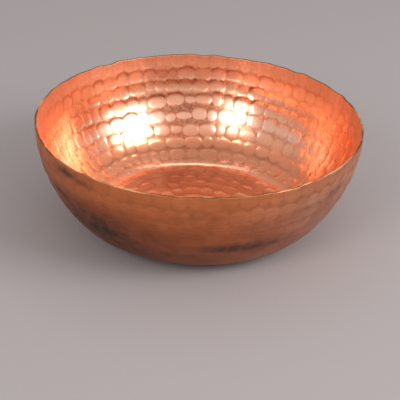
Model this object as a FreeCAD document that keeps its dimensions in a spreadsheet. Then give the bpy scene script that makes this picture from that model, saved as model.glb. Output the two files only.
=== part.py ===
import FreeCAD, Part
import math
import os
import Sketcher

# Hammered copper bowl, raised from one disc of sheet copper.
#
# Frame: millimetres, +Z up. The origin is the middle of the flat base, on the surface that the
# bowl stands on, and Z is the bowl's axis of symmetry.
#
# The section is one sheet thick all the way. From the axis outwards it is a flat floor, a corner
# arc tangent to the floor, and a longer wall arc tangent to the corner, which ends at the rim
# leaning very slightly outwards. The inside runs parallel to the outside. The rim is a plain cut
# edge, filed flat, with its two corners eased by hand.

NODE = "bowl_shell"

DRIVING_DIMENSIONS = [
    ("rim_radius", 125.0, "outer radius at the rim"),
    ("height", 84.0, "base to rim"),
    ("base_radius", 63.0, "radius of the flat that the bowl stands on"),
    ("corner_radius", 48.0, "outer radius of the turn from base to wall"),
    ("wall_radius", 115.0, "outer radius of the wall's own curve, seen in section"),
    ("sheet", 1.5, "thickness of the copper sheet"),
    ("rim_easing", 0.4, "radius filed on both corners of the cut rim"),
]


def make_sheet(doc):
    """The spreadsheet that every size below is bound to. Returns the numbers for placing points."""
    sheet = doc.addObject("Spreadsheet::Sheet", "Dims")
    sheet.Label = "Dims"
    values = {}
    for row, (alias, value, note) in enumerate(DRIVING_DIMENSIONS, start=1):
        sheet.set("A%d" % row, alias)
        sheet.set("B%d" % row, str(value))
        sheet.set("C%d" % row, note)
        sheet.setAlias("B%d" % row, alias)
        values[alias] = value
    doc.recompute()
    return values


def wall_centre(corner_centre, centre_gap, rim_point, wall_radius):
    """Centre of the wall arc: centre_gap from the corner's centre and wall_radius from the rim."""
    across = rim_point - corner_centre
    span = across.Length
    along = (centre_gap ** 2 - wall_radius ** 2 + span ** 2) / (2 * span)
    aside = math.sqrt(centre_gap ** 2 - along ** 2)
    unit = across / span
    inward = FreeCAD.Vector(-unit.y, unit.x, 0)
    return corner_centre + unit * along + inward * aside


def direction_angle(centre, point):
    return math.atan2(point.y - centre.y, point.x - centre.x)


def add_arc(sketch, centre, radius, start_angle, end_angle):
    circle = Part.Circle(centre, FreeCAD.Vector(0, 0, 1), radius)
    return sketch.addGeometry(Part.ArcOfCircle(circle, start_angle, end_angle), False)


def add_line(sketch, start, end):
    return sketch.addGeometry(Part.LineSegment(start, end), False)


def point_on(centre, radius, angle):
    return centre + FreeCAD.Vector(math.cos(angle), math.sin(angle), 0) * radius


def draw_section(sketch, dims):
    """Half of the bowl's section, in sketch axes: x is the distance from the axis, y the height."""
    start, end, centre = 1, 2, 3
    sheet = dims["sheet"]
    down = -math.pi / 2

    # Where each point starts out. The constraints below hold it there.
    corner_mid = FreeCAD.Vector(dims["base_radius"], dims["corner_radius"], 0)
    rim_out = FreeCAD.Vector(dims["rim_radius"], dims["height"], 0)
    gap = dims["wall_radius"] - dims["corner_radius"]
    wall_mid = wall_centre(corner_mid, gap, rim_out, dims["wall_radius"])
    turn = direction_angle(wall_mid, corner_mid)
    rim_angle_out = direction_angle(wall_mid, rim_out)
    inner_wall_radius = dims["wall_radius"] - sheet
    rim_angle_in = math.asin((dims["height"] - wall_mid.y) / inner_wall_radius)
    rim_in = point_on(wall_mid, inner_wall_radius, rim_angle_in)
    axis_low = FreeCAD.Vector(0, 0, 0)
    axis_high = FreeCAD.Vector(0, sheet, 0)
    base_end = FreeCAD.Vector(dims["base_radius"], 0, 0)
    floor_end = FreeCAD.Vector(dims["base_radius"], sheet, 0)

    base = add_line(sketch, axis_low, base_end)
    corner_out = add_arc(sketch, corner_mid, dims["corner_radius"], down, turn)
    wall_out = add_arc(sketch, wall_mid, dims["wall_radius"], turn, rim_angle_out)
    rim = add_line(sketch, rim_out, rim_in)
    wall_in = add_arc(sketch, wall_mid, inner_wall_radius, turn, rim_angle_in)
    corner_in = add_arc(sketch, corner_mid, dims["corner_radius"] - sheet, down, turn)
    floor = add_line(sketch, floor_end, axis_high)
    axis = add_line(sketch, axis_high, axis_low)

    def constrain(kind, *ids):
        return sketch.addConstraint(Sketcher.Constraint(kind, *ids))

    def drive(kind, ids, alias):
        index = constrain(kind, *ids, dims[alias])
        sketch.renameConstraint(index, alias)
        sketch.setExpression("Constraints." + alias, "Dims." + alias)

    # Outside: base, corner and wall run into each other smoothly, up to the rim.
    constrain("Coincident", base, start, -1, 1)
    constrain("Horizontal", base)
    constrain("Tangent", base, end, corner_out, start)
    constrain("Tangent", corner_out, end, wall_out, start)
    constrain("Coincident", wall_out, end, rim, start)
    constrain("Horizontal", rim)

    # Inside: the same arcs, one sheet further in.
    constrain("Coincident", rim, end, wall_in, end)
    constrain("Coincident", wall_in, centre, wall_out, centre)
    constrain("Coincident", corner_in, centre, corner_out, centre)
    constrain("Tangent", wall_in, start, corner_in, end)
    constrain("Tangent", corner_in, start, floor, start)
    constrain("Horizontal", floor)
    constrain("Coincident", floor, end, axis, start)
    constrain("Coincident", axis, end, base, start)
    constrain("Vertical", axis)

    # Sizes, each driven by the cell of the same name.
    drive("DistanceX", (base, start, base, end), "base_radius")
    drive("Radius", (corner_out,), "corner_radius")
    drive("Radius", (wall_out,), "wall_radius")
    drive("DistanceX", (-1, 1, wall_out, end), "rim_radius")
    drive("DistanceY", (-1, 1, wall_out, end), "height")
    drive("DistanceY", (axis, end, axis, start), "sheet")


def origin_feature(body, role):
    for feature in body.Origin.OriginFeatures:
        if feature.Role == role:
            return feature
    raise RuntimeError("the body's origin has no %s" % role)


def rim_edges(shape, height):
    """Names of the circular edges that lie in the plane of the rim."""
    tolerance = 1e-4
    names = []
    for number, edge in enumerate(shape.Edges, start=1):
        box = edge.BoundBox
        if box.ZMin > height - tolerance and box.ZLength < tolerance:
            names.append("Edge%d" % number)
    return names


def make_bowl_shell(doc, dims):
    body = doc.addObject("PartDesign::Body", NODE)
    body.Label = NODE

    section = body.newObject("Sketcher::SketchObject", "section")
    section.AttachmentSupport = [(origin_feature(body, "XZ_Plane"), "")]
    section.MapMode = "FlatFace"
    draw_section(section, dims)
    doc.recompute()

    raised = body.newObject("PartDesign::Revolution", "raised_shell")
    raised.Profile = section
    raised.ReferenceAxis = (section, ["V_Axis"])
    raised.Angle = 360
    doc.recompute()

    edges = rim_edges(raised.Shape, dims["height"])
    if len(edges) != 2:
        raise RuntimeError("expected the rim's outer and inner edge, found %s" % edges)
    eased = body.newObject("PartDesign::Fillet", "eased_rim")
    eased.Base = (raised, edges)
    eased.setExpression("Radius", "Dims.rim_easing")
    body.Tip = eased

    body.Placement = FreeCAD.Placement(FreeCAD.Vector(0, 0, 0), FreeCAD.Rotation())
    return body, section


def check(doc, bodies, section):
    """Stop before anything is written if an object failed or a shape isn't a sound solid."""
    for item in doc.Objects:
        if "Invalid" in item.State or "Error" in item.State:
            raise RuntimeError("%s is %s" % (item.Name, item.State))
    if section.solve() != 0 or not section.FullyConstrained:
        raise RuntimeError("the section sketch isn't fully constrained")
    for body in bodies:
        shape = body.Shape
        if shape.isNull() or not shape.isValid() or len(shape.Solids) != 1:
            raise RuntimeError("%s isn't one valid solid" % body.Label)


def write_parts(bodies):
    os.makedirs("parts", exist_ok=True)
    for body in bodies:
        body.Shape.exportStep("parts/%s.step" % body.Label)
        box = body.Shape.optimalBoundingBox(False, False)
        print("%s: %.2f x %.2f x %.2f mm, %.1f mm3, mass centre height %.2f mm" % (
            body.Label, box.XLength, box.YLength, box.ZLength, body.Shape.Volume,
            body.Shape.Solids[0].CenterOfMass.z))


def main():
    doc = FreeCAD.newDocument("hammered_copper_bowl")
    dims = make_sheet(doc)
    bowl_shell, section = make_bowl_shell(doc, dims)
    doc.recompute()
    check(doc, [bowl_shell], section)
    write_parts([bowl_shell])


main()
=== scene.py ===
import math
import random

import bpy
import numpy as np
from mathutils import Matrix, Vector
from mathutils.geometry import delaunay_2d_cdt


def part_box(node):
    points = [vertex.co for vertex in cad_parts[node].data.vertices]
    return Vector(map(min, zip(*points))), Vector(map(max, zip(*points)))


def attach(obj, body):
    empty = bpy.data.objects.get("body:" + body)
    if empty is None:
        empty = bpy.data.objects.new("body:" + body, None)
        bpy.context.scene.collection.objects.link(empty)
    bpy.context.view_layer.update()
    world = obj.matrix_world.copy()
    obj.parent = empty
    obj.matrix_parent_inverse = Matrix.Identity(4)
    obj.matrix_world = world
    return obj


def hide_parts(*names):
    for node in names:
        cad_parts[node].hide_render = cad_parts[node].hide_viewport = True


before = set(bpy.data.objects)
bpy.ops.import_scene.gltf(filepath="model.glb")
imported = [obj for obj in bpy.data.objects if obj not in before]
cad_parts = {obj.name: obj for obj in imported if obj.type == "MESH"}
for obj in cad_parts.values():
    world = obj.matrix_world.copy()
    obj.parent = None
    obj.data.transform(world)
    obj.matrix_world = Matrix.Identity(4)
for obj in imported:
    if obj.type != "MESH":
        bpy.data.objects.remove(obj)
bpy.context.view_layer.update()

# Hammered copper bowl, in metres, in the CAD frame: +Z up, origin in the middle of the base.
# The shell is one mesh with two skins, the hammered inside and the smoother outside, joined over
# the cut rim. Distances called "down" run along a skin, from the rim to the middle of the floor.
# Turns (in radians) and azimuths (in degrees) run from +X, anticlockwise from above. The viewer is
# at -Y, so the middle of the back wall is at 90 degrees, and the front inside can't be seen.

MM = 0.001
FULL_TURN = 2 * math.pi
low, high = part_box("bowl_shell")
HEIGHT = high.z
RIM_RADIUS = 0.5 * (high.x - low.x)

# The section, as the CAD part has it.
BASE_RADIUS = 63 * MM
CORNER_RADIUS = 48 * MM
WALL_RADIUS = 115 * MM
SHEET = 1.5 * MM

# How finely a skin's flat map is sampled, and how many points are worked on at once.
MAP_SAMPLES = 4001
CHUNK = 4000
TINY = 1e-9


# ---------------------------------------------------------------- section

class Skin:
    """One side of the sheet: a wall arc, a corner arc and the flat, by distance down from the rim."""

    def __init__(self, inset, facing):
        self.facing = facing
        self.wall = WALL_RADIUS - inset
        self.corner = CORNER_RADIUS - inset
        self.floor_z = inset
        corner_mid = np.array([BASE_RADIUS, CORNER_RADIUS])
        rim = np.array([RIM_RADIUS, HEIGHT])
        gap = WALL_RADIUS - CORNER_RADIUS
        across = rim - corner_mid
        span = np.hypot(*across)
        along = (gap ** 2 - WALL_RADIUS ** 2 + span ** 2) / (2 * span)
        aside = math.sqrt(gap ** 2 - along ** 2)
        unit = across / span
        self.wall_mid = corner_mid + unit * along + np.array([-unit[1], unit[0]]) * aside
        self.corner_mid = corner_mid
        # Angles below the horizontal, at the rim and where the wall meets the corner.
        self.at_rim = math.asin((self.wall_mid[1] - HEIGHT) / self.wall)
        drop = self.wall_mid - corner_mid
        self.at_join = math.atan2(drop[1], -drop[0])
        self.wall_length = self.wall * (self.at_join - self.at_rim)
        self.corner_length = self.corner * (math.pi / 2 - self.at_join)
        self.edge = self.wall_length + self.corner_length
        self.length = self.edge + BASE_RADIUS
        self.downs = np.linspace(0, self.length, MAP_SAMPLES)
        radii = np.maximum(self.point(self.downs)[0], TINY)
        # A flat map of the skin that keeps its angles: this is the map's radius at each distance.
        step = np.diff(self.downs) / (0.5 * (radii[1:] + radii[:-1]))
        logs = np.concatenate([[0], -np.cumsum(step)])
        on_floor = self.downs >= self.edge
        first = np.argmax(on_floor)
        self.map_radii = np.exp(logs - logs[first]) * radii[first]
        self.map_radii[first:] = radii[first:]
        self.map_radii[-1] = 0

    def point(self, down):
        """Radius, height and outward normal (along the radius, along Z) at a distance down."""
        down = np.asarray(down, float)
        wall = self.at_rim + down / self.wall
        corner = self.at_join + (down - self.wall_length) / self.corner
        on_wall = down <= self.wall_length
        on_floor = down > self.edge
        angle = np.where(on_wall, wall, np.where(on_floor, math.pi / 2, corner))
        mid_r = np.where(on_wall, self.wall_mid[0], self.corner_mid[0])
        mid_z = np.where(on_wall, self.wall_mid[1], self.corner_mid[1])
        bend = np.where(on_wall, self.wall, self.corner)
        radius = mid_r + bend * np.cos(angle)
        height = mid_z - bend * np.sin(angle)
        radius = np.where(on_floor, np.maximum(self.length - down, 0), radius)
        height = np.where(on_floor, self.floor_z, height)
        return radius, height, -self.facing * np.cos(angle), self.facing * np.sin(angle)

    def place(self, down, turn):
        """Positions and normals, as arrays of 3-D rows."""
        radius, height, normal_r, normal_z = self.point(down)
        cos, sin = np.cos(turn), np.sin(turn)
        position = np.stack([radius * cos, radius * sin, height], -1)
        normal = np.stack([normal_r * cos, normal_r * sin, normal_z], -1)
        return position, normal

    def to_map(self, down, turn):
        """Points of the flat map, as arrays of 2-D rows."""
        radius = np.interp(down, self.downs, self.map_radii)
        return np.stack([radius * np.cos(turn), radius * np.sin(turn)], -1)


inside = Skin(SHEET, 1)
outside = Skin(0, -1)


def turned_from(azimuth, turn):
    """Angle from an azimuth to one turn or to many, within half a circle either way."""
    return (turn - math.radians(azimuth) + math.pi) % FULL_TURN - math.pi


def round_the_circle(count):
    """Evenly spaced turns, the first of them 0."""
    return np.arange(count) * FULL_TURN / count


def chunks(count):
    """Slices that cover a long array piece by piece."""
    return [slice(start, start + CHUNK) for start in range(0, count, CHUNK)]


# ---------------------------------------------------------------- hammer marks

MARK_WIDTH = 12.2 * MM
ROW_PITCH = 12.8 * MM
# Distances down of the rows, in mm. The first is the planished band under the rim, called row -1.
ROWS_DOWN = (4.5, 17.2, 27.4, 39.2, 52.4, 64.8, 76.4, 87.4, 98, 108, 119, 130.6, 142.4, 154.2, 166)
LOOSE_FROM_ROW = 8          # from the end of the corner on, rows keep less well to their circle
WHOLE_UP_TO_ROW = 2         # rows above this one miss no marks
MISSING_SHARE = 0.02
OVERLAP = 1.06              # a mark's width, as a share of its part of the row
MARK_HALF_HEIGHT = 6.3 * MM
MARK_DEPTH = 0.31 * MM
DEEPEST = 0.48 * MM
MARK_BEYOND = 20 * MM       # no mark reaches a point this far from its centre
OUT_OF_REACH = 99
DISH_SHARE = 0.42           # how much of a mark is a round dish, the rest being a flat pan
SQUARENESS = 2.5
EDGE_POWER = 6              # how steeply the pan rises to its top and bottom edges
SIDE_POWER = 8              # and to its sides
NEAR_CENTRE = 1e-6
FLATNESS = 0.7              # how far a mark flattens the curve of the wall
DEPTH_BY_ROW = ([-1, 0, 5, 6, 7, 8, 9], [0.5, 1, 1, 1.2, 0.12, 0.2, 1.5])
TILT_BY_ROW = ([0, 2, 4, 6, 8, 9, 10], [0.1, 0.35, 0.35, 0.5, 0.1, 0.4, 0.1])
# Which edge of a mark is the wider one: below 0 its top edge, above 0 its bottom edge.
SKEW_BY_ROW = ([0, 1, 3, 4, 6, 7], [-0.6, -0.9, -0.9, -0.5, -0.3, 0.5])

# How far marks stray. Ranges are shares of the usual, the wander and the row jitters are in mm.
ANGLE_RANGE = (0.68, 1.32)
WIDTH_RANGE = (0.94, 1.06)
HEIGHT_RANGE = (0.9, 1.1)
DEPTH_RANGE = (0.6, 1.4)
WANDER_WAVES = (2, 3, 5, 9)
WANDER_RANGE = (0.1, 0.45)
ROW_JITTER = 0.6
LOOSE_JITTER = 1.3
TILT_JITTER = 0.2
LEAN_JITTER = 0.22

# Where the hammer left unworked gaps between marks: azimuth, distance down and reach (mm), and the
# least share of the usual width and height that the marks have there.
SPARSE_SPOTS = [(96, 54, 22, 0.86, 0.6), (33, 58, 12, 0.75, 0.8), (138, 62, 16, 0.86, 0.8),
                (262, 50, 15, 0.7, 0.8), (318, 40, 12, 0.7, 0.8)]
SPARSE_WIDEST = 1.12
# Where the marks were planished flatter or struck deeper: azimuth, distance down and reach (mm),
# and the share of the usual depth. It fades out over the last part of the reach.
DEPTH_SPOTS = [(121, 50, 22, 0.4), (77, 50, 15, 0.4), (170, 40, 50, 0.5), (48, 55, 30, 0.6),
               (250, 60, 30, 0.6), (97, 56, 24, 0.65), (32, 98, 18, 3), (152, 96, 18, 3)]
DEPTH_SPOT_FADE = (0.6, 1.1)

# How strongly one lip of a mark is darkened with painted shade, by row, and where the lip is.
LIP_BY_ROW = ([-1, 0, 1, 4, 5, 6, 7], [0.1, 1.6, 1.6, 1.2, 1.1, 1.3, 0])
# Which lip: 1 for the upper one, -1 for the lower one.
LIP_SIDE_BY_ROW = ([4, 5], [1, -1])
LIP_AT = 0.92
LIP_REACH = 0.17
LIP_RISE = 1.5
LIP_MOST = 1.2
LIP_SHADE_LEAST = 0.15

# How light a mark's facet is coloured, by row, as the darkest and the lightest. The tone differs at
# random within the range; on the outside, the lighter top row over darker rows is painted light on
# that row and painted shade under its scallops.
TONE_LOW_BY_ROW = ([0, 1, 2, 4, 5, 6, 7], [0.7, 0.3, 0.2, 0.2, 0, 0, 0.5])
TONE_HIGH_BY_ROW = ([0, 1, 2, 4, 5, 6, 7], [1.0, 0.8, 0.75, 0.75, 0.6, 0.4, 0.9])
PLAIN_TONE = 0.85


def squarish(u, v):
    """Below 1 inside the rounded square that is a mark's outline, and above 1 outside it."""
    return np.abs(u) ** SQUARENESS + np.abs(v) ** SQUARENESS


def draw_row(number, row, pitch, draw, spread):
    """The marks of one row. What follows a mark's distance down and turn is as Marks names it."""
    radius = float(inside.point(row)[0])
    count = max(1, round(FULL_TURN * radius / MARK_WIDTH))
    turn = draw.uniform(0, FULL_TURN)
    wander = [(n, draw.uniform(0, FULL_TURN), draw.uniform(*WANDER_RANGE) * MM) for n in WANDER_WAVES]
    tilt, skew, usual_depth, tone_low, tone_high = (np.interp(number, *by_row) for by_row in (
        TILT_BY_ROW, SKEW_BY_ROW, DEPTH_BY_ROW, TONE_LOW_BY_ROW, TONE_HIGH_BY_ROW))
    jitter = ROW_JITTER if number < LOOSE_FROM_ROW else LOOSE_JITTER
    shares = [draw.uniform(*ANGLE_RANGE) for _ in range(count)]
    total = sum(shares)
    found = []
    for share in shares:
        angle = FULL_TURN * share / total
        turn += 0.5 * angle
        down = row + draw.gauss(0, jitter) * MM
        down += sum(size * math.sin(n * turn + phase) for n, phase, size in wander)
        wide = 0.5 * angle * radius * OVERLAP * draw.uniform(*WIDTH_RANGE)
        tall = MARK_HALF_HEIGHT * pitch / ROW_PITCH * draw.uniform(*HEIGHT_RANGE)
        deep = MARK_DEPTH * draw.uniform(*DEPTH_RANGE) * usual_depth
        lean_down, lean_across = tilt + draw.gauss(0, TILT_JITTER), draw.gauss(0, LEAN_JITTER)
        tone = draw.uniform(tone_low, tone_high)

        def from_spot(azimuth, down_mm):
            return math.hypot(turned_from(azimuth, turn) * radius, down - down_mm * MM)

        for azimuth, down_mm, near, width_left, height_left in SPARSE_SPOTS:
            if from_spot(azimuth, down_mm) < near * MM:
                wide *= spread.uniform(width_left, SPARSE_WIDEST)
                tall *= spread.uniform(height_left, 1)
        for azimuth, down_mm, near, depth_left in DEPTH_SPOTS:
            away = from_spot(azimuth, down_mm) / (near * MM)
            deep *= np.interp(away, DEPTH_SPOT_FADE, (depth_left, 1))
        if number < WHOLE_UP_TO_ROW or draw.random() > MISSING_SHARE:
            found.append((min(down, inside.length), turn, wide, tall, min(deep, DEEPEST), lean_down,
                          lean_across, number, tone, skew, spread.uniform(LIP_SHADE_LEAST, 1)))
        turn += 0.5 * angle
    return found


class Marks:
    """Every hammer mark on the inside: a shallow pan, nearly flat inside a crisp raised edge."""

    def __init__(self, seed):
        draw, spread = random.Random(seed), random.Random(seed + 1)
        rows = [down * MM for down in ROWS_DOWN]
        found = []
        for number, (row, pitch) in enumerate(zip(rows, np.gradient(rows)), start=-1):
            found += draw_row(number, row, pitch, draw, spread)
        columns = np.array(found).T
        self.down, self.turn, self.half_width, self.half_height, self.depth = columns[:5]
        self.tilt, self.lean, self.row, self.tone, self.skew, self.lip_shade_strength = columns[5:]
        self.centre, normal = inside.place(self.down, self.turn)
        self.across = np.stack([-np.sin(self.turn), np.cos(self.turn), 0 * self.turn], -1)
        self.downward = np.cross(normal, self.across)
        radius, _, normal_r, _ = inside.point(self.down)
        sagitta = self.half_width ** 2 * np.abs(normal_r) / (2 * np.maximum(radius, 1 * MM))
        self.flat_across = FLATNESS * sagitta

    def __len__(self):
        return len(self.down)

    def local(self, offset, which, grow=1):
        """Offsets from marks' centres, across in half widths and down in half heights."""
        u = (offset * self.across[which]).sum(-1) / (grow * self.half_width[which])
        v = (offset * self.downward[which]).sum(-1) / (grow * self.half_height[which])
        return u, v

    def lip_shade(self, points, owner):
        """How much painted shade each point gets for being near one lip of its own mark, the upper or the
        lower one by row. Points that no mark owns have none."""
        own = np.maximum(owner, 0)
        u, v = self.local(points - self.centre[own], own)
        out = squarish(u, v) ** (1 / SQUARENESS)
        side = np.interp(self.row[own], *LIP_SIDE_BY_ROW)
        near = np.exp(-((out - LIP_AT) / LIP_REACH) ** 2) * np.clip(-LIP_RISE * v * side, 0, 1)
        strength = np.minimum(self.lip_shade_strength[own] * np.interp(self.row[own], *LIP_BY_ROW), LIP_MOST)
        return np.where(owner < 0, 0, near * strength)

    def height(self, points, which=None):
        """Height of the inside's surface from its smooth skin (below 0 in a mark), the mark that
        made it or -1, and how far out in the nearest mark a point is: 0 in its middle, 1 at its edge."""
        pick = np.arange(len(self)) if which is None else which
        best, reach = np.zeros(len(points)), np.zeros(len(points))
        owner = np.full(len(points), -1)
        for part in chunks(len(points)):
            offset = points[part, None, :] - self.centre[None, pick]
            u, v = self.local(offset, pick)
            square = squarish(u, v) ** (2 / SQUARENESS)
            square[np.abs(offset).sum(-1) > MARK_BEYOND] = OUT_OF_REACH
            slope = 1 - self.tilt[pick] * v + self.lean[pick] * u
            floor = self.depth[pick] * slope + self.flat_across[pick] * u * u
            sideways = u * u / (u * u + v * v + NEAR_CENTRE)
            power = EDGE_POWER * np.exp(-self.skew[pick] * np.clip(v, -1, 1)) * (1 - sideways)
            power += SIDE_POWER * sideways
            worn = DISH_SHARE * square + (1 - DISH_SHARE) * square ** (0.5 * power)
            rise = np.where(square < 1, -floor * (1 - worn), 1)
            index = rise.argmin(1)
            value = rise[np.arange(len(index)), index]
            hit = value < 0
            best[part] = np.where(hit, value, 0)
            owner[part] = np.where(hit, pick[index], -1)
            reach[part] = np.sqrt(square.min(1))
        return best, owner, reach


marks = Marks(31)


# ---------------------------------------------------------------- mesh points

RIM_COUNT = 480
RIM_TURNS = round_the_circle(RIM_COUNT)
RIM_CLEARANCE = 0.6 * MM
FIRST_RING = 1.2 * MM
RING_STEP = 0.87            # between staggered circles, as a share of the spacing along them
RAYS = 46
RAY_SHARES = np.linspace(0.3, 1.0, 36)
EDGE_SPACING = 0.62 * MM
# Rings of points inside each mark: how far out, and the least spacing. Floor marks have one only.
RINGS = ((0.9, 0.62 * MM), (0.72, 0.85 * MM), (0.45, 1.15 * MM))
FLOOR_RING = 0.72
PLAIN_SPACING = 1.5 * MM
PLAIN_LEAST = 1.15 * MM
# Start, end and spacing of the outside's points, by distance down.
OUTSIDE_ZONES = ((0, 36 * MM, 1.35 * MM), (36 * MM, 64 * MM, 2.0 * MM), (64 * MM, 1, 2.8 * MM))
OUTSIDE_LEAST = 0.65


class Thinner:
    """Keeps points that aren't closer together than a given distance, first come first served.
    The distance may be up to the size of a cell."""

    def __init__(self, cell):
        self.cell = cell
        self.grid = {}

    def add(self, position, least):
        x, y, z = position
        i, j, k = (int(math.floor(value / self.cell)) for value in (x, y, z))
        for a in (i - 1, i, i + 1):
            for b in (j - 1, j, j + 1):
                for c in (k - 1, k, k + 1):
                    for px, py, pz in self.grid.get((a, b, c), ()):
                        if (px - x) ** 2 + (py - y) ** 2 + (pz - z) ** 2 < least * least:
                            return False
        self.grid.setdefault((i, j, k), []).append((x, y, z))
        return True


def spread_rings(skin, spacing):
    """Evenly spread (down, turn) points over a whole skin, on staggered circles."""
    rows = []
    row_step = spacing * RING_STEP
    count = int((skin.length - FIRST_RING) / row_step)
    for i in range(count):
        down = FIRST_RING + i * row_step
        radius = float(skin.point(down)[0])
        n = max(3, round(FULL_TURN * radius / spacing))
        turns = (np.arange(n) + 0.5 * (i % 2)) * FULL_TURN / n
        rows.append(np.stack([np.full(n, down), turns], -1))
    return np.concatenate(rows)


def local_to_skin(mark, u, v):
    """(down, turn) of points u across and v down from a mark's centre."""
    down, turn = marks.down[mark], marks.turn[mark]
    radius = float(inside.point(down)[0])
    if down > inside.edge:
        x = radius - v
        return inside.length - np.hypot(x, u), turn + np.arctan2(u, x)
    slope = (radius - float(inside.point(down + 1 * MM)[0])) / (1 * MM)
    new_down = down + v - slope * u * u / (2 * radius)
    new_radius = inside.point(new_down)[0]
    return new_down, turn + u / np.maximum(new_radius, 1 * MM)


def outline_of(mark, near):
    """Cosines and sines of RAYS directions, and how far along each one the mark ends."""
    angles = round_the_circle(RAYS)
    cos, sin = np.cos(angles), np.sin(angles)
    full = squarish(cos / marks.half_width[mark], sin / marks.half_height[mark]) ** (-1 / SQUARENESS)
    t = full[:, None] * RAY_SHARES
    u, v = t * cos[:, None], t * sin[:, None]
    points, _ = inside.place(*local_to_skin(mark, u.ravel(), v.ravel()))
    _, owner, _ = marks.height(points, near)
    mine = (owner == mark).reshape(t.shape)
    mine[:, -1] = False
    first_out = np.argmin(mine, 1)
    half_step = 0.5 * full * (RAY_SHARES[1] - RAY_SHARES[0])
    edge = np.where(first_out == len(RAY_SHARES) - 1, full, t[np.arange(RAYS), first_out] - half_step)
    return cos, sin, edge


def inside_points():
    """All mesh points of the inside as (down, turn), crisp along the edges of the marks."""
    thinner = Thinner(cell=2 * MM)
    kept = []

    def offer(down, turn, least):
        positions, _ = inside.place(down, turn)
        for d, t, position in zip(down, turn, positions):
            if RIM_CLEARANCE < d < inside.length and thinner.add(position, least):
                kept.append((d, t))

    rim_positions, _ = inside.place(np.zeros(RIM_COUNT), RIM_TURNS)
    for turn, position in zip(RIM_TURNS, rim_positions):
        thinner.add(position, 0)
        kept.append((0.0, turn))

    outlines = []
    for mark in range(len(marks)):
        apart = np.linalg.norm(marks.centre - marks.centre[mark], axis=1)
        outlines.append(outline_of(mark, np.where(apart < 2 * MARK_WIDTH)[0]))
    for share, spacing in ((1, EDGE_SPACING), *RINGS):
        for mark, (cos, sin, edge) in enumerate(outlines):
            if marks.down[mark] > inside.edge and share not in (1, FLOOR_RING):
                continue
            down, turn = local_to_skin(mark, share * edge * cos, share * edge * sin)
            offer(down, turn, spacing)
    offer(marks.down, marks.turn, PLAIN_SPACING)
    offer(*spread_rings(inside, PLAIN_SPACING).T, PLAIN_LEAST)
    kept.append((inside.length, 0.0))
    return np.array(kept)


def outside_points():
    """All mesh points of the outside as (down, turn), closer together near the rim."""
    thinner = Thinner(cell=3 * MM)
    kept = [(0.0, turn) for turn in RIM_TURNS]
    for position in outside.place(np.zeros(RIM_COUNT), RIM_TURNS)[0]:
        thinner.add(position, 0)
    for start, end, spacing in OUTSIDE_ZONES:
        cloud = spread_rings(outside, spacing)
        chosen = cloud[(cloud[:, 0] >= start) & (cloud[:, 0] < end)]
        for point, position in zip(chosen, outside.place(*chosen.T)[0]):
            if thinner.add(position, OUTSIDE_LEAST * spacing):
                kept.append(tuple(point))
    kept.append((outside.length, 0.0))
    return np.array(kept)


def triangles(skin, points):
    """Triangles between (down, turn) points, as evenly shaped as the skin's flat map allows."""
    flat = skin.to_map(points[:, 0], points[:, 1]) / RIM_RADIUS
    found = delaunay_2d_cdt([Vector(p) for p in flat], [], [], 0, TINY)
    assert len(found[0]) == len(points)
    order = [sources[0] for sources in found[3]]
    return [tuple(order[i] for i in face) for face in found[2]]


# ---------------------------------------------------------------- hand-made unevenness

wave_draw = random.Random(5)
RIM_WAVES = [(n, wave_draw.uniform(0, FULL_TURN), size * MM, wave_draw.uniform(0, FULL_TURN))
             for n, size in ((2, 0.32), (3, 0.25), (5, 0.18), (8, 0.15), (13, 0.13), (19, 0.18),
                             (29, 0.22), (37, 0.2), (47, 0.16))]
SWELL_SHARE = 0.4
# The waves are lowered and drawn in by this much, so that the bowl stays inside the CAD's box.
RIM_LOWERED = 0.9 * MM
RIM_DRAWN_IN = 0.52 * MM


def uneven(positions):
    """The bowl is not quite round, and its rim dips a little, unevenly, all the way round."""
    turn = np.arctan2(positions[:, 1], positions[:, 0])
    rise, swell = np.zeros(len(positions)), np.zeros(len(positions))
    for n, phase, size, other in RIM_WAVES:
        rise += size * np.sin(n * turn + phase)
        swell += SWELL_SHARE * size * np.sin(n * turn + other)
    share = np.clip(positions[:, 2] / HEIGHT, 0, 1)
    grow = 1 + (swell - RIM_DRAWN_IN) * share ** 2 / RIM_RADIUS
    out = positions.copy()
    out[:, :2] *= grow[:, None]
    out[:, 2] += np.minimum(rise - RIM_LOWERED, 0) * share ** 4
    return out


# How the marks show through on the outside: wider and softer than inside, and less so lower down.
BULGE_BY_ROW = ([0, 2, 4, 8], [1.0, 0.7, 0.35, 0.2])
BULGE_SIZE = 1.08
BULGE_GAIN = 1.5
BULGE_POWER = 2.2
BULGE_LEAN = 0.3
BULGE_BEYOND = 22 * MM
BULGE_SEEN = 0.02 * MM


def bulges(points):
    """How far the marks push the outside out, softened by the sheet, and how bright each facet is."""
    total, tone = np.zeros(len(points)), np.zeros(len(points))
    gain = np.interp(marks.row, *BULGE_BY_ROW)
    for part in chunks(len(points)):
        offset = points[part, None, :] - marks.centre[None]
        u, v = marks.local(offset, slice(None), BULGE_SIZE)
        square = np.clip(u * u + v * v, 0, 1)
        square[np.abs(offset).sum(-1) > BULGE_BEYOND] = 1
        push = BULGE_GAIN * marks.depth * gain * (1 - square ** BULGE_POWER) * (1 + BULGE_LEAN * v)
        index = push.argmax(1)
        total[part] = push[np.arange(len(index)), index]
        tone[part] = np.where(total[part] > BULGE_SEEN, marks.tone[index], PLAIN_TONE)
    return total, tone
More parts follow.
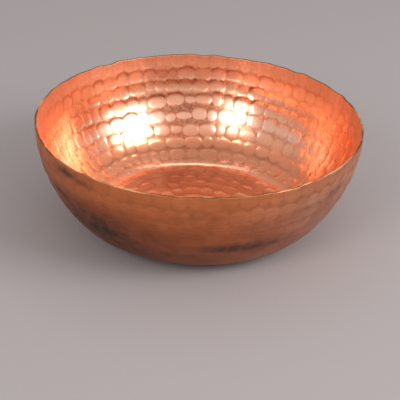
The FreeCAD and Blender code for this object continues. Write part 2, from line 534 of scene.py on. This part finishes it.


# Dark smudges on the outside: patina, and painted shade where the outside is darker on the front
# left and low down near the floor. Azimuth, height, half length, half height (mm) and strength.
# The first group is on the front half, the second on the back half.
PATINA_AND_SHADE_SMUDGES = [
    (222, 78, 11, 3, 0.9), (229, 76, 8, 2.5, 0.6), (216, 53, 11, 4, 0.8), (231, 35, 40, 18, 0.85),
    (246, 22, 22, 8, 0.6), (264, 26, 24, 7, 0.5), (285, 35, 24, 4.2, 1.0), (298, 34, 16, 5, 0.6),
    (309, 62, 5, 2, 0.5), (324, 66, 8, 3, 0.5), (272, 67, 20, 3.5, 0.3),
    (20, 45, 18, 7, 0.6), (75, 30, 22, 6, 0.7), (120, 60, 10, 3, 0.5), (160, 40, 24, 9, 0.7),
    (350, 25, 16, 6, 0.6), (192, 70, 8, 3, 0.5),
]

# Duller, darker patches on the inside, given the same way: partly dull copper, partly painted shade
# where the walls were too bright with light reflected from the highlights.
DULL_AND_SHADED_PATCHES = [(8, 66, 60, 26, 0.8), (32, 76, 26, 9, 0.6), (352, 40, 40, 20, 0.6), (172, 74, 60, 16, 0.6),
                (48, 76, 40, 13, 0.8), (135, 74, 40, 13, 0.3), (95, 76, 22, 8, 0.3), (240, 60, 60, 24, 0.5)]

# Painted reflection on the outside: paler, pinker patches where it mirrors the lit floor, given the same
# way.
PINK_REFLECTION_SPOTS = [(322, 52, 50, 26, 1.0), (140, 55, 45, 25, 0.8), (60, 60, 40, 20, 0.6)]


SPOT_FALLOFF = 0.7


def spots_at(positions, spots):
    """Strength of soft spots at points of either skin."""
    turn = np.arctan2(positions[:, 1], positions[:, 0])
    radius = np.hypot(positions[:, 0], positions[:, 1])
    total = np.zeros(len(positions))
    for azimuth, height, length, tall, strength in spots:
        u = turned_from(azimuth, turn) * radius / (length * MM)
        v = (positions[:, 2] - height * MM) / (tall * MM)
        total = np.maximum(total, strength * np.exp(-SPOT_FALLOFF * (u * u + v * v)))
    return total


# The painted shade under the marks' lips, the darker creases and the tarnish in unworked gaps are
# strongest around these azimuths, and weaker between them.
SHADE_AND_TARNISH_AZIMUTHS = (97, 277)
# Degrees away from them over which all of it fades to the far share, and the thickest to none.
SHADE_AND_TARNISH_SPREAD = (43, 66)
THICK_SPREAD = (13, 21)
FAR_SHARE = 0.2


def shade_and_tarnish_left(turn, spread, least):
    """Share of the painted shade and tarnish beside the marks that is kept at each turn."""
    left = np.zeros(len(turn))
    for azimuth in SHADE_AND_TARNISH_AZIMUTHS:
        apart = np.degrees(np.abs(turned_from(azimuth, turn)))
        left = np.maximum(left, np.interp(apart, spread, (1, least)))
    return left


# ---------------------------------------------------------------- the shell

RIM_STEPS = 5
RIM_CROWN = 0.35 * MM       # how far the cut edge is rounded up, and the whole rim set down
RIM_BLUNTNESS = 0.6
RIM_ROUNDNESS = 0.5
SET_DOWN_POWER = 8
BASE_FADE = 14 * MM         # the bulges of the outside fade out over this much, before the base
CREASE_REACH = 0.07
UNWORKED_FROM = 0.97
THICK_OVERLAP = 0.03
UNWORKED_FADE = 0.06
# Share of the usual tarnish in unworked gaps, by distance down in mm.
GAP_BY_DOWN = ([30, 40, 80, 90], [0, 1, 1, 0])
KNOCK_HEIGHT = 0.5 * MM
LAYERS = ("inner", "rim", "down", "crease", "lip", "gap", "knock", "facet", "patina_and_shade", "pink_reflection")


def rim_rings(inner_loop, outer_loop):
    """Rings of points over the cut edge, from the inside skin's loop to the outside skin's."""
    rings = []
    for step in range(1, RIM_STEPS):
        angle = math.pi * step / RIM_STEPS
        share = 0.5 - 0.5 * math.copysign(abs(math.cos(angle)) ** RIM_BLUNTNESS, math.cos(angle))
        ring = inner_loop * (1 - share) + outer_loop * share
        ring[:, 2] += RIM_CROWN * math.sin(angle) ** RIM_ROUNDNESS
        rings.append(ring)
    return rings


def inside_layers(points, base, owner, reach):
    """What the material reads at each point of the inside, by layer."""
    down, turn = points.T
    left = shade_and_tarnish_left(turn, SHADE_AND_TARNISH_SPREAD, FAR_SHARE)
    thick = shade_and_tarnish_left(turn, THICK_SPREAD, 0)
    unworked = np.clip((reach - UNWORKED_FROM + THICK_OVERLAP * thick) / UNWORKED_FADE, 0, 1)
    return {
        "inner": 1,
        "down": down,
        "crease": np.exp(-((reach - 1) / CREASE_REACH) ** 2) * left,
        "lip": marks.lip_shade(base, owner) * left,
        "gap": unworked * np.interp(down / MM, *GAP_BY_DOWN) * left * (0.5 + 0.5 * thick),
        "facet": np.where(owner < 0, PLAIN_TONE, marks.tone[owner]),
        "patina_and_shade": spots_at(base, DULL_AND_SHADED_PATCHES),
    }


def build_shell():
    in_points, out_points = inside_points(), outside_points()
    count_in, count_out = len(in_points), len(out_points)

    in_base, in_normal = inside.place(*in_points.T)
    depth, owner, reach = marks.height(in_base)
    in_positions = in_base + in_normal * depth[:, None]

    out_base, out_normal = outside.place(*out_points.T)
    push, out_tone = bulges(out_base - out_normal * SHEET)
    flat_base = np.clip((out_points[:, 0] - outside.edge + BASE_FADE) / BASE_FADE, 0, 1)
    out_positions = out_base + out_normal * (push * (1 - flat_base))[:, None]

    faces = triangles(inside, in_points)
    faces += [(a + count_in, c + count_in, b + count_in) for a, b, c in triangles(outside, out_points)]

    rings = rim_rings(in_positions[:RIM_COUNT], out_positions[:RIM_COUNT])
    first_ring = count_in + count_out
    rows = [0, *range(first_ring, first_ring + len(rings) * RIM_COUNT, RIM_COUNT), count_in]
    for near, far in zip(rows[:-1], rows[1:]):
        for i in range(RIM_COUNT):
            j = (i + 1) % RIM_COUNT
            faces.append((near + i, far + i, far + j, near + j))

    positions = np.concatenate([in_positions, out_positions, *rings])
    positions[:, 2] -= RIM_CROWN * np.clip(positions[:, 2] / HEIGHT, 0, 1) ** SET_DOWN_POWER
    mesh = bpy.data.meshes.new("hammered_bowl")
    mesh.from_pydata([tuple(p) for p in uneven(positions)], [], faces)
    mesh.polygons.foreach_set("use_smooth", [True] * len(mesh.polygons))

    on_outside = {"down": out_points[:, 0], "knock": push / KNOCK_HEIGHT, "facet": out_tone,
                  "patina_and_shade": spots_at(out_base, PATINA_AND_SHADE_SMUDGES), "pink_reflection": spots_at(out_base, PINK_REFLECTION_SPOTS)}
    parts = ((inside_layers(in_points, in_base, owner, reach), count_in), (on_outside, count_out),
             ({"rim": 1}, len(rings) * RIM_COUNT))
    for name in LAYERS:
        values = np.concatenate([np.broadcast_to(part.get(name, 0), count) for part, count in parts])
        layer = mesh.attributes.new(name, "FLOAT", "POINT")
        layer.data.foreach_set("value", values.astype(np.float32))
    mesh.validate()
    mesh.update()
    bowl = bpy.data.objects.new("hammered_bowl", mesh)
    bpy.context.scene.collection.objects.link(bowl)
    return bowl


# ---------------------------------------------------------------- materials

class Nodes:
    """A node tree, with short helpers for the kinds of node it is made from."""

    def __init__(self, tree):
        self.tree = tree

    def node(self, kind, **values):
        node = self.tree.nodes.new(kind)
        for key, value in values.items():
            setattr(node, key, value)
        return node

    def put(self, value, socket):
        """Set a socket to a number or a colour, or link it to another socket."""
        if isinstance(value, (int, float)):
            socket.default_value = value
        elif isinstance(value, tuple):
            socket.default_value = (*value, 1)
        else:
            self.tree.links.new(value, socket)

    def fed(self, kind, *values, **settings):
        """A new node with its first inputs filled in order."""
        node = self.node(kind, **settings)
        for value, socket in zip(values, node.inputs):
            self.put(value, socket)
        return node

    def chain(self, operation, first, *others):
        for other in others:
            first = self.fed("ShaderNodeMath", first, other, operation=operation).outputs[0]
        return first

    def times(self, *values):
        return self.chain("MULTIPLY", *values)

    def plus(self, *values):
        return self.chain("ADD", *values)

    def attribute(self, name):
        return self.node("ShaderNodeAttribute", attribute_name=name).outputs["Fac"]

    def axes(self, vector):
        return self.fed("ShaderNodeSeparateXYZ", vector).outputs

    def vector(self, x, y, z):
        return self.fed("ShaderNodeCombineXYZ", x, y, z).outputs[0]

    def remap(self, value, start, end, low=0.0, high=1.0, **settings):
        return self.fed("ShaderNodeMapRange", value, start, end, low, high, **settings).outputs[0]

    def blend(self, share, a, b):
        node = self.node("ShaderNodeMix", data_type="RGBA")
        for value, socket in ((share, node.inputs[0]), (a, node.inputs[6]), (b, node.inputs[7])):
            self.put(value, socket)
        return node.outputs[2]

    def coats(self, colour, *over):
        """A colour with (share, colour) coats blended over it in turn."""
        for share, coat in over:
            colour = self.blend(share, colour, coat)
        return colour

    def ramp(self, value, stops):
        node = self.fed("ShaderNodeValToRGB", value)
        elements = node.color_ramp.elements
        while len(elements) < len(stops):
            elements.new(0.5)
        for element, (place, colour) in zip(elements, stops):
            element.position = place
            element.color = (*colour, 1)
        return node.outputs[0]

    def noise(self, vector, scale, detail=3.0, rough=0.5):
        node = self.node("ShaderNodeTexNoise")
        for name, value in (("Vector", vector), ("Scale", scale), ("Detail", detail), ("Roughness", rough)):
            self.put(value, node.inputs[name])
        return node.outputs["Fac"]


class Shading(Nodes):
    """One material's nodes, around a principled shader."""

    def __init__(self, name):
        self.material = bpy.data.materials.new(name)
        self.material.use_nodes = True
        super().__init__(self.material.node_tree)
        self.tree.nodes.clear()
        output = self.node("ShaderNodeOutputMaterial")
        self.shader = self.node("ShaderNodeBsdfPrincipled")
        self.put(self.shader.outputs[0], output.inputs[0])


# The inside's colour, from the rim (0) to the middle of the floor (1), and the outside's, from
# the rim to the edge of the base. Colours are linear red, green and blue. Inside, the paler bands
# (0.31, 0.60 to 0.68) and the redder corner (0.42 to 0.53) are painted reflection as well as the
# copper's colour. Outside, the drop from 0.17 to 0.25 is painted shade under the top rows of marks,
# and the colour darkens towards the base.
BRIGHT_STOPS = [
    (0.0, (0.92, 0.48, 0.31)), (0.08, (0.92, 0.46, 0.29)), (0.20, (0.93, 0.45, 0.29)),
    (0.31, (0.97, 0.64, 0.50)), (0.42, (0.93, 0.32, 0.16)), (0.53, (0.89, 0.34, 0.185)),
    (0.60, (0.96, 0.57, 0.40)), (0.68, (0.95, 0.53, 0.35)), (0.80, (0.93, 0.45, 0.26)),
    (1.0, (0.92, 0.44, 0.25))]
DARK_STOPS = [
    (0.0, (0.88, 0.26, 0.09)), (0.17, (0.84, 0.24, 0.082)), (0.25, (0.64, 0.18, 0.065)),
    (0.5, (0.57, 0.16, 0.06)), (0.8, (0.38, 0.145, 0.078)), (1.0, (0.33, 0.135, 0.085))]

BRUSH_SHARE = 0.05          # detail along the outside's brush lines, against across them


class Copper(Shading):
    """Bright and polished inside, satin, darker and patinated outside, with painted reflection, sheen
    and shade, and a dark cut rim with painted golden glints.
    """

    def __init__(self):
        super().__init__("hammered_copper")
        self.layer = {name: self.attribute(name) for name in LAYERS}
        down = self.layer["down"]
        self.place = self.node("ShaderNodeTexCoord").outputs["Object"]
        x, y, _ = self.axes(self.place)
        # Inside, the wall was rubbed up and down: lines that keep their azimuth.
        level = self.node("ShaderNodeVectorMath", operation="NORMALIZE")
        self.put(self.vector(x, y, 0), level.inputs[0])
        unit_x, unit_y, _ = self.axes(level.outputs[0])
        lines = self.noise(self.vector(unit_x, unit_y, down), 110, 3, 0.6)
        self.rub = self.times(lines, self.remap(down, 72 * MM, 88 * MM, 1, 0))
        # Outside, the sheet was brushed round and round: lines drawn out along the circles.
        brushed = self.vector(self.times(x, BRUSH_SHARE), self.times(y, BRUSH_SHARE), down)
        self.streak = self.noise(brushed, 900, 3, 0.6)
        self.band_streak = self.noise(brushed, 260, 2)
        self.cloud = self.noise(self.place, 38, 4)
        self.mottle = self.noise(self.place, 130, 3)
        self.grain = self.noise(self.place, 420, 3)

        inner = self.layer["inner"]
        base = self.blend(inner, self.dark(), self.bright())
        # Painted golden glints on the cut rim, strongest at the front and sides and faint at the back, over
        # the rim's dark colour.
        rim_glint = self.times(self.remap(self.noise(self.place, 34, 3), 0.42, 0.62),
                          self.remap(y, 20 * MM, 70 * MM, 1, 0.1))
        rim_edge_and_glints = self.blend(rim_glint, (0.28, 0.12, 0.05), (0.98, 0.60, 0.32))
        self.put(self.blend(self.layer["rim"], base, rim_edge_and_glints), self.shader.inputs["Base Color"])
        self.shader.inputs["Metallic"].default_value = 1
        rough = self.node("ShaderNodeMix", data_type="FLOAT")
        for value, socket in ((inner, 0), (self.satin(), 2), (self.polished(), 3)):
            self.put(value, rough.inputs[socket])
        self.put(rough.outputs[0], self.shader.inputs["Roughness"])

        # Fine brush lines and pitting, far too small to model.
        height = self.plus(self.times(self.streak, 0.6),
                           self.times(self.grain, self.remap(inner, 0, 1, 0.5, 0.1)))
        bump = self.node("ShaderNodeBump")
        for name, value in (("Distance", 0.02 * MM), ("Strength", 0.6), ("Height", height)):
            self.put(value, bump.inputs[name])
        self.put(bump.outputs[0], self.shader.inputs["Normal"])

    def bright(self):
        """The inside's colour: polished copper, with painted reflection in its bands by distance down,
        duller where it was rubbed and in its patches, which are partly painted shade, tarnished in unworked
        gaps, and with painted shade under one lip of the marks."""
        down, patina_and_shade, layer = self.layer["down"], self.layer["patina_and_shade"], self.layer
        rubbing = self.times(self.remap(self.rub, 0.38, 0.68, 0, 0.45), self.remap(patina_and_shade, 0, 0.6, 1, 1.7))
        corner = self.times(self.remap(down, 76 * MM, 84 * MM), self.remap(self.mottle, 0.4, 0.7, 0, 0.4))
        return self.coats(
            self.ramp(self.remap(down, 0, inside.length), BRIGHT_STOPS),
            (self.remap(layer["facet"], 0, 0.8, 0.55, 0), (0.80, 0.34, 0.19)),
            (self.remap(self.cloud, 0.35, 0.7, 0, 0.35), (0.90, 0.40, 0.24)),
            (rubbing, (0.80, 0.34, 0.19)),
            (corner, (0.90, 0.35, 0.19)),
            # dull patches, partly painted shade on walls lit by reflected light
            (self.times(patina_and_shade, self.remap(self.cloud, 0.35, 0.65, 0.5, 1.0)), (0.80, 0.35, 0.16)),
            (self.times(layer["gap"], self.remap(self.grain, 0.38, 0.58, 0.7, 1.0)), (0.34, 0.11, 0.055)),
            # painted shade: dark crescents under one lip of each mark
            (self.times(layer["lip"], self.remap(self.mottle, 0.35, 0.65, 0.5, 0.9)), (0.42, 0.14, 0.065)),
            (self.times(layer["crease"], 0.3), (0.62, 0.22, 0.11)))

    def dark(self):
        """The outside's colour: darker towards the base, with painted shade under the top rows, painted
        pink reflection, painted sheen on the raised facets and painted shade between them in the upper
        part, mottling, brush lines, and dark smudges that are patina and painted shade."""
        down, pink_reflection, layer = self.layer["down"], self.layer["pink_reflection"], self.layer
        # Painted sheen on the raised facets of the upper part, brightest in the pink reflection.
        upper = self.times(self.remap(down, 28 * MM, 60 * MM, 1.0, 0.2),
                           self.remap(pink_reflection, 0, 0.6, 0.7, 1.25))
        struck = self.blend(pink_reflection, (0.97, 0.35, 0.14), (0.98, 0.56, 0.42))
        aged = self.remap(down, 12 * MM, 40 * MM, 0.45, 1.0)
        pitted = self.remap(self.noise(self.place, 120, 5, 0.65), 0.27, 0.6, 0.3, 1.2)
        return self.coats(
            self.ramp(self.remap(down, 0, outside.edge), DARK_STOPS),
            # painted pink reflection of the lit floor
            (self.times(pink_reflection, 0.6), (0.86, 0.43, 0.29)),
            (self.times(upper, self.remap(layer["facet"], 0.25, 1.0, 0, 0.6)), struck),
            # painted shade between the raised facets in the upper part
            (self.times(upper, self.remap(layer["knock"], 0.0, 0.35, 0.4, 0)), (0.40, 0.14, 0.06)),
            (self.times(aged, self.remap(self.cloud, 0.4, 0.7, 0, 0.5)), (0.34, 0.115, 0.055)),
            (self.times(aged, self.remap(self.mottle, 0.4, 0.7, 0, 0.35)), (0.38, 0.13, 0.06)),
            (self.times(aged, self.remap(self.band_streak, 0.45, 0.75, 0, 0.3)), (0.32, 0.12, 0.05)),
            (self.remap(self.streak, 0.35, 0.8, 0, 0.2), (0.28, 0.10, 0.05)),
            # dark smudges: patina, and painted shade on the front left and near the floor
            (self.times(layer["patina_and_shade"], pitted), (0.09, 0.058, 0.05)))

    def polished(self):
        """The inside's roughness: lowest on the wall, higher near the rim, on the corner and floor."""
        down = self.layer["down"]
        fine = self.plus(self.remap(self.grain, 0.3, 0.7, -0.02, 0.03),
                         self.remap(self.rub, 0.35, 0.7, 0, 0.07))
        corner = self.times(self.remap(down, 70 * MM, 80 * MM), self.remap(down, 90 * MM, 96 * MM, 1, 0))
        return self.plus(
            self.remap(self.cloud, 0.35, 0.7, 0.15, 0.23), fine, self.times(self.layer["gap"], 0.16),
            self.remap(down, 8 * MM, 28 * MM, 0.24, 0.0), self.times(corner, 0.06),
            self.times(self.layer["patina_and_shade"], 0.2), self.remap(down, 92 * MM, 98 * MM, 0, -0.05),
            self.remap(down, 112 * MM, 130 * MM, 0, 0.12))

    def satin(self):
        """The outside's roughness."""
        return self.plus(self.remap(self.cloud, 0.35, 0.7, 0.34, 0.46),
                         self.remap(self.streak, 0.3, 0.7, -0.05, 0.08),
                         self.times(self.layer["patina_and_shade"], 0.12))


def pale_floor():
    s = Shading("pale_floor")
    s.shader.inputs["Base Color"].default_value = (0.37, 0.34, 0.34, 1)
    s.shader.inputs["Roughness"].default_value = 0.85
    return s.material


# ---------------------------------------------------------------- build

bowl = build_shell()
bowl.data.materials.append(Copper().material)
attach(bowl, "root")
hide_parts("bowl_shell")

# ---------------------------------------------------------------- stage, light and camera

STAGE_SIZE = 12.0
LIGHT_DISTANCE = 1.6


def make_floor():
    mesh = bpy.data.meshes.new("floor")
    half = STAGE_SIZE / 2
    corners = [(-half, -half, 0), (half, -half, 0), (half, half, 0), (-half, half, 0)]
    mesh.from_pydata(corners, [], [(0, 1, 2, 3)])
    floor = bpy.data.objects.new("floor", mesh)
    floor.data.materials.append(pale_floor())
    bpy.context.scene.collection.objects.link(floor)


def softbox(name, azimuth, elevation, width, height, power):
    """A rectangular light that faces the bowl. Azimuth 0 is on the viewer's side, 90 on the right."""
    light = bpy.data.lights.new(name, "AREA")
    light.shape = "RECTANGLE"
    light.size, light.size_y = width, height
    light.energy = power
    lamp = bpy.data.objects.new(name, light)
    az, el = math.radians(azimuth), math.radians(elevation)
    direction = Vector((math.sin(az) * math.cos(el), -math.cos(az) * math.cos(el), math.sin(el)))
    lamp.location = Vector((0, 0, HEIGHT / 2)) + direction * LIGHT_DISTANCE
    lamp.rotation_euler = (-direction * LIGHT_DISTANCE).to_track_quat("-Z", "Y").to_euler()
    bpy.context.scene.collection.objects.link(lamp)


# The studio's brightness by height of the direction (the sine of its elevation), and its tint.
FRONT_LEVELS = [(0.0, 0.45), (0.2, 0.7), (0.4, 0.94), (0.6, 0.92), (0.8, 0.8), (0.95, 0.62)]
BEHIND_LEVELS = [(0.0, 0.55), (0.45, 0.45), (0.75, 0.68), (1.0, 0.58)]
STUDIO_TINT = (1, 0.965, 0.955)


def make_world():
    """A plain studio: brightest in front above the horizon, dimmer overhead, behind and to the left."""
    world = bpy.data.worlds.new("studio")
    bpy.context.scene.world = world
    world.use_nodes = True
    s = Nodes(world.node_tree)
    x, y, z = s.axes(s.node("ShaderNodeTexCoord").outputs["Generated"])

    def by_height(levels):
        return s.ramp(z, [(height, [level * tint for tint in STUDIO_TINT]) for height, level in levels])

    front, behind = by_height(FRONT_LEVELS), by_height(BEHIND_LEVELS)
    colour, strength = world.node_tree.nodes["Background"].inputs[:2]
    s.put(s.blend(s.remap(y, -0.2, 0.8, interpolation_type="SMOOTHSTEP"), front, behind), colour)
    s.put(s.remap(x, -0.8, 0.2, 0.78, 1.0), strength)


# The camera: its pitch and roll in degrees, its lens in mm, and how far it is from the rim's middle
# along its own axes.
PITCH = 29.516
ROLL = 2.29
LENS = 108
SENSOR_WIDTH = 36
DISTANCE = 911.2 * MM
ASIDE = 2.84 * MM
BELOW = 62.9 * MM


def make_camera():
    """Looks down on the bowl from the front, a little rolled, with the rim above the middle."""
    pitch, roll = math.radians(PITCH), math.radians(ROLL)
    right = Vector((1, 0, 0))
    back = Vector((0, -math.cos(pitch), math.sin(pitch)))
    up = back.cross(right)
    rim_middle = Vector((0, 0, HEIGHT))
    data = bpy.data.cameras.new("camera")
    data.lens = LENS
    data.sensor_width = SENSOR_WIDTH
    camera = bpy.data.objects.new("camera", data)
    rolled_right = right * math.cos(roll) + up * math.sin(roll)
    rolled_up = up * math.cos(roll) - right * math.sin(roll)
    matrix = Matrix((rolled_right, rolled_up, back)).transposed().to_4x4()
    matrix.translation = rim_middle + right * ASIDE - up * BELOW + back * DISTANCE
    camera.matrix_world = matrix
    bpy.context.scene.collection.objects.link(camera)
    bpy.context.scene.camera = camera


make_floor()
make_world()
softbox("key_right", 65, 34, 0.85, 0.68, 15)
softbox("key_left", -32, 33, 0.52, 0.65, 6.8)
# A thin bent tube above and behind, as short straight pieces that grow dimmer towards its ends.
for piece, azimuth, elevation, power in ((1, 141, 60, 0.04), (2, 158, 58, 0.14), (3, 175, 57.3, 0.2),
                                         (4, 192, 58, 0.14), (5, 209, 60, 0.05)):
    softbox("tube_%d" % piece, azimuth, elevation, 0.26, 0.04, power)
make_camera()
bpy.context.scene.view_settings.view_transform = "Standard"
